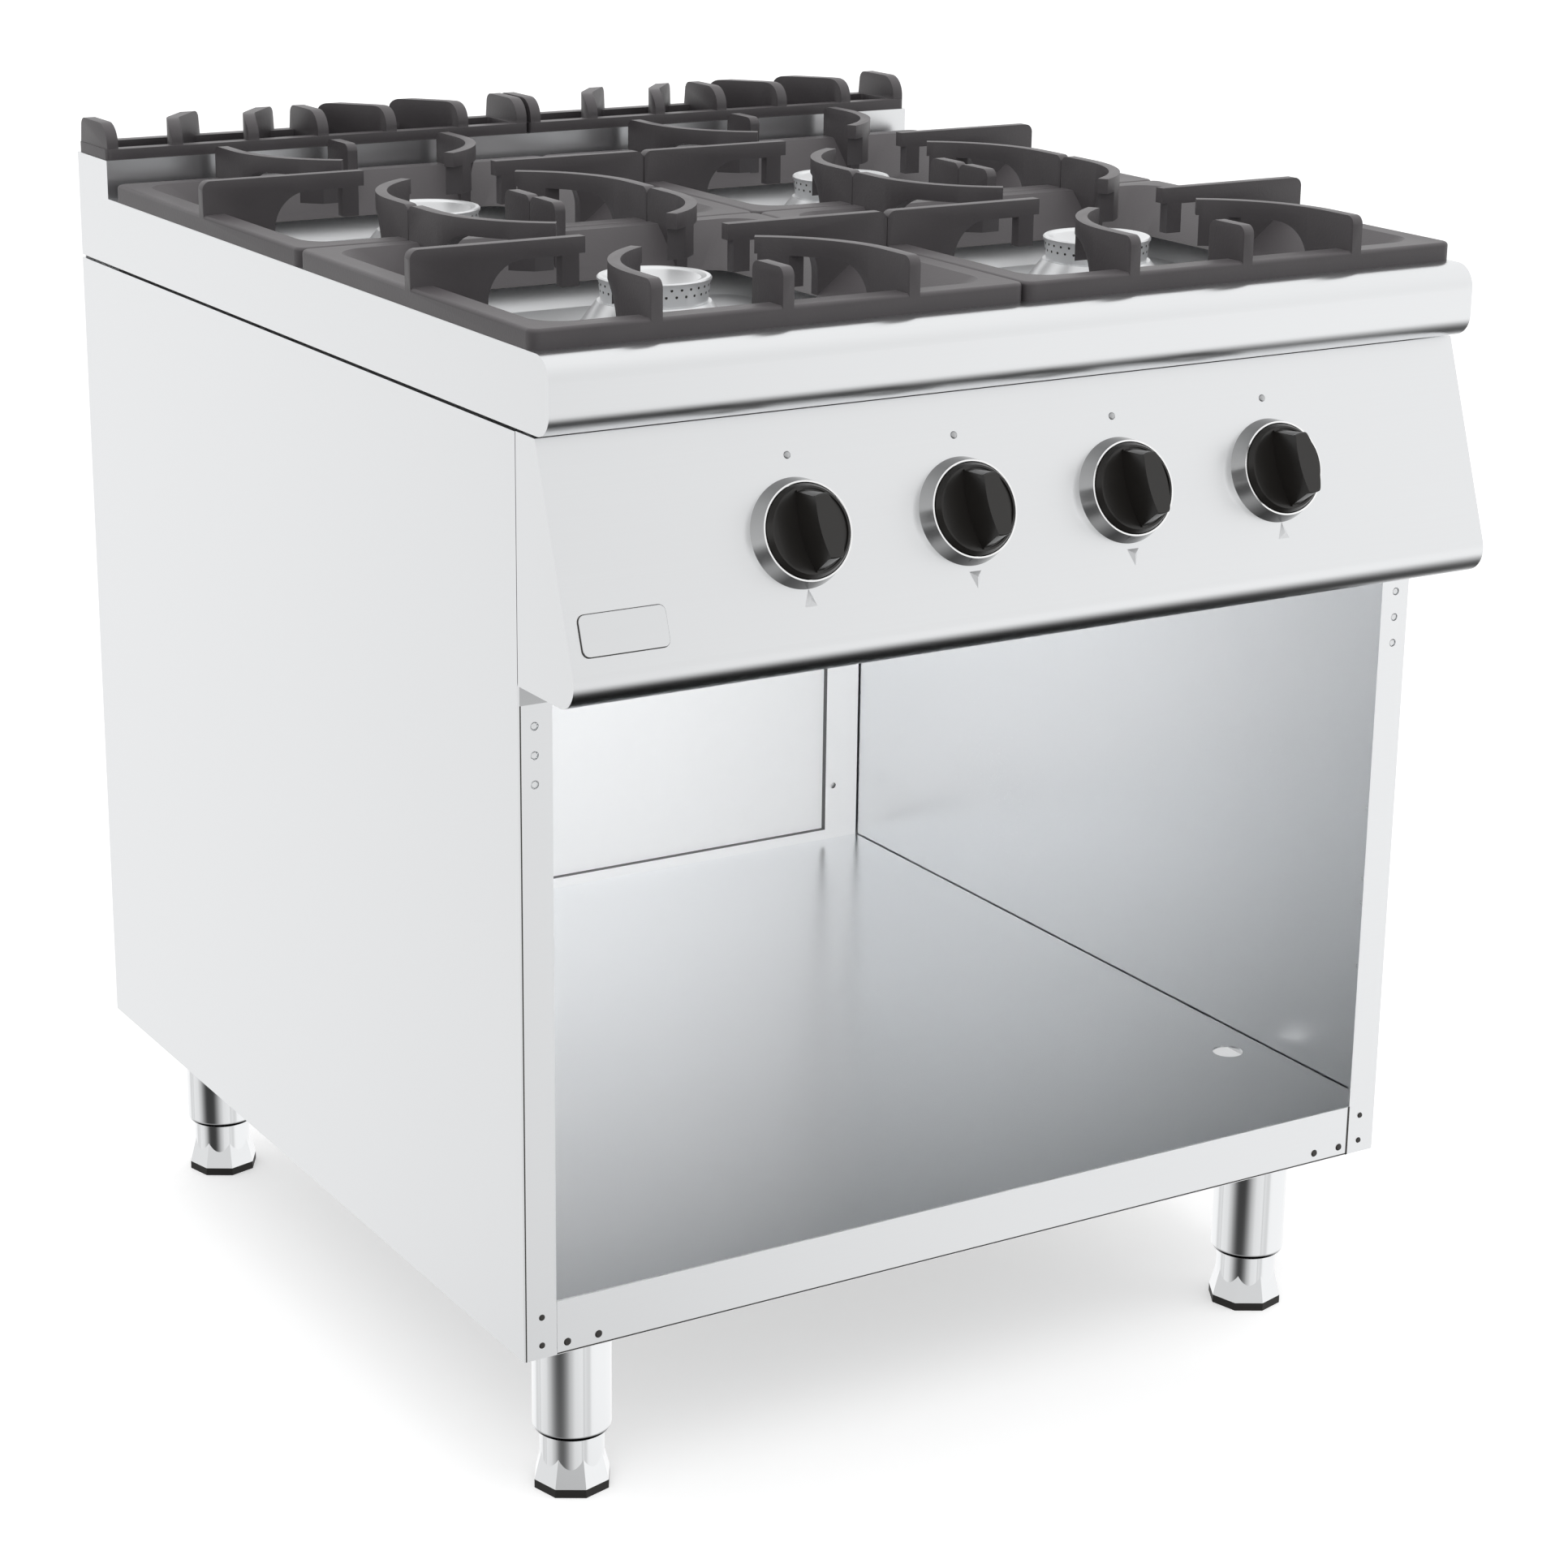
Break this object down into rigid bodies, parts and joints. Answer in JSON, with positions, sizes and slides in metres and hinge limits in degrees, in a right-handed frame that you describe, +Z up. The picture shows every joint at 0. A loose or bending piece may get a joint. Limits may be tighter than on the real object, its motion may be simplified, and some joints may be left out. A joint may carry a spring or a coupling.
{
  "type": "gas range",
  "caption": "Free-standing commercial gas range with an open cabinet, sloping knob panel, burners under lift-off cast-iron pan supports, flue grids and adjustable legs.",
  "frame": {"origin": "middle of the footprint, on the floor", "axes": "+Z up, +X to the user's right, -Y to the front where the knobs are"},
  "size_m": [0.8, 0.9426, 0.962],
  "materials": {
    "satin_steel": "satin stainless steel sheet",
    "inner_steel": "satin steel sheet inside the cabinet",
    "bright_steel": "bright pressed steel",
    "cast_iron": "matt enamelled cast iron",
    "burner_metal": "bright turned metal",
    "bezel_chrome": "polished chrome",
    "knob_black": "gloss black",
    "tap_brass": "machined brass",
    "pipe_steel": "drawn steel tube",
    "leg_steel": "satin stainless steel",
    "pad_black": "matt black"
  },
  "bodies": {
    "carcass": {"back_panel": "inner_steel", "base_channels": "inner_steel", "burner_base_front_left": "burner_metal", "burner_base_front_right": "burner_metal", "burner_base_rear_left": "burner_metal", "burner_base_rear_right": "burner_metal", "burner_box_floor": "satin_steel", "burner_supply_tubes": "pipe_steel", "burner_well_front_left": "bright_steel", "burner_well_front_right": "bright_steel", "burner_well_rear_left": "bright_steel", "burner_well_rear_right": "bright_steel", "cabinet_floor": "inner_steel", "control_panel": "satin_steel", "flue_riser": "satin_steel", "front_bottom_rail": "satin_steel", "gas_manifold": "pipe_steel", "gas_taps": "tap_brass", "hob_top": "satin_steel", "knob_bezel_front_left": "bezel_chrome", "knob_bezel_front_right": "bezel_chrome", "knob_bezel_rear_left": "bezel_chrome", "knob_bezel_rear_right": "bezel_chrome", "left_front_upright": "satin_steel", "left_side_panel": "satin_steel", "leg_tube_front_left": "leg_steel", "leg_tube_front_right": "leg_steel", "leg_tube_rear_left": "leg_steel", "leg_tube_rear_right": "leg_steel", "pilot_burners": "burner_metal", "rear_frame": "inner_steel", "right_front_upright": "satin_steel", "right_side_panel": "satin_steel"},
    "pan_support_front_left": {"pan_support_front_left": "cast_iron"},
    "burner_cap_front_left": {"burner_cap_front_left": "burner_metal"},
    "tap_spindle_front_left": {"tap_spindle_front_left": "tap_brass"},
    "knob_front_left": {"knob_front_left": "knob_black"},
    "foot_front_left": {"adjustable_foot_front_left": "leg_steel", "foot_pad_front_left": "pad_black"},
    "pan_support_front_right": {"pan_support_front_right": "cast_iron"},
    "burner_cap_front_right": {"burner_cap_front_right": "burner_metal"},
    "tap_spindle_front_right": {"tap_spindle_front_right": "tap_brass"},
    "knob_front_right": {"knob_front_right": "knob_black"},
    "foot_front_right": {"adjustable_foot_front_right": "leg_steel", "foot_pad_front_right": "pad_black"},
    "pan_support_rear_left": {"pan_support_rear_left": "cast_iron"},
    "burner_cap_rear_left": {"burner_cap_rear_left": "burner_metal"},
    "tap_spindle_rear_left": {"tap_spindle_rear_left": "tap_brass"},
    "knob_rear_left": {"knob_rear_left": "knob_black"},
    "foot_rear_left": {"adjustable_foot_rear_left": "leg_steel", "foot_pad_rear_left": "pad_black"},
    "pan_support_rear_right": {"pan_support_rear_right": "cast_iron"},
    "burner_cap_rear_right": {"burner_cap_rear_right": "burner_metal"},
    "tap_spindle_rear_right": {"tap_spindle_rear_right": "tap_brass"},
    "knob_rear_right": {"knob_rear_right": "knob_black"},
    "foot_rear_right": {"adjustable_foot_rear_right": "leg_steel", "foot_pad_rear_right": "pad_black"},
    "flue_grid_left": {"flue_grid_left": "cast_iron"},
    "flue_grid_right": {"flue_grid_right": "cast_iron"}
  },
  "joints": [
    {"name": "pan_support_lift_front_left", "type": "slide", "parent": "carcass", "child": "pan_support_front_left", "axis": [0, 0, 1], "range_m": [0, 0.15]},
    {"name": "pan_support_lift_front_right", "type": "slide", "parent": "carcass", "child": "pan_support_front_right", "axis": [0, 0, 1], "range_m": [0, 0.15]},
    {"name": "pan_support_lift_rear_left", "type": "slide", "parent": "carcass", "child": "pan_support_rear_left", "axis": [0, 0, 1], "range_m": [0, 0.15]},
    {"name": "pan_support_lift_rear_right", "type": "slide", "parent": "carcass", "child": "pan_support_rear_right", "axis": [0, 0, 1], "range_m": [0, 0.15]},
    {"name": "burner_cap_lift_front_left", "type": "slide", "parent": "carcass", "child": "burner_cap_front_left", "axis": [0, 0, 1], "range_m": [0, 0.12]},
    {"name": "burner_cap_lift_front_right", "type": "slide", "parent": "carcass", "child": "burner_cap_front_right", "axis": [0, 0, 1], "range_m": [0, 0.12]},
    {"name": "burner_cap_lift_rear_left", "type": "slide", "parent": "carcass", "child": "burner_cap_rear_left", "axis": [0, 0, 1], "range_m": [0, 0.12]},
    {"name": "burner_cap_lift_rear_right", "type": "slide", "parent": "carcass", "child": "burner_cap_rear_right", "axis": [0, 0, 1], "range_m": [0, 0.12]},
    {"name": "flue_grid_lift_left", "type": "slide", "parent": "carcass", "child": "flue_grid_left", "axis": [0, 0, 1], "range_m": [0, 0.08]},
    {"name": "flue_grid_lift_right", "type": "slide", "parent": "carcass", "child": "flue_grid_right", "axis": [0, 0, 1], "range_m": [0, 0.08]},
    {"name": "tap_turn_rear_left", "type": "hinge", "parent": "carcass", "child": "tap_spindle_rear_left", "pos_m": [-0.2085, -0.4237, 0.76111], "axis": [0, -0.9449, 0.3273], "range_deg": [0, 180]},
    {"name": "knob_push_rear_left", "type": "slide", "parent": "tap_spindle_rear_left", "child": "knob_rear_left", "axis": [0, 0.9449, -0.3273], "range_m": [0, 0.005], "stiffness_N_per_m": 1000, "springref_m": -0.002},
    {"name": "tap_turn_front_left", "type": "hinge", "parent": "carcass", "child": "tap_spindle_front_left", "pos_m": [-0.0695, -0.4237, 0.76111], "axis": [0, -0.9449, 0.3273], "range_deg": [0, 180]},
    {"name": "knob_push_front_left", "type": "slide", "parent": "tap_spindle_front_left", "child": "knob_front_left", "axis": [0, 0.9449, -0.3273], "range_m": [0, 0.005], "stiffness_N_per_m": 1000, "springref_m": -0.002},
    {"name": "tap_turn_front_right", "type": "hinge", "parent": "carcass", "child": "tap_spindle_front_right", "pos_m": [0.0695, -0.4237, 0.76111], "axis": [0, -0.9449, 0.3273], "range_deg": [0, 180]},
    {"name": "knob_push_front_right", "type": "slide", "parent": "tap_spindle_front_right", "child": "knob_front_right", "axis": [0, 0.9449, -0.3273], "range_m": [0, 0.005], "stiffness_N_per_m": 1000, "springref_m": -0.002},
    {"name": "tap_turn_rear_right", "type": "hinge", "parent": "carcass", "child": "tap_spindle_rear_right", "pos_m": [0.2085, -0.4237, 0.76111], "axis": [0, -0.9449, 0.3273], "range_deg": [0, 180]},
    {"name": "knob_push_rear_right", "type": "slide", "parent": "tap_spindle_rear_right", "child": "knob_rear_right", "axis": [0, 0.9449, -0.3273], "range_m": [0, 0.005], "stiffness_N_per_m": 1000, "springref_m": -0.002},
    {"name": "foot_height_front_left", "type": "slide", "parent": "carcass", "child": "foot_front_left", "axis": [0, 0, -1], "range_m": [0, 0.04]},
    {"name": "foot_height_front_right", "type": "slide", "parent": "carcass", "child": "foot_front_right", "axis": [0, 0, -1], "range_m": [0, 0.04]},
    {"name": "foot_height_rear_left", "type": "slide", "parent": "carcass", "child": "foot_rear_left", "axis": [0, 0, -1], "range_m": [0, 0.04]},
    {"name": "foot_height_rear_right", "type": "slide", "parent": "carcass", "child": "foot_rear_right", "axis": [0, 0, -1], "range_m": [0, 0.04]}
  ]
}
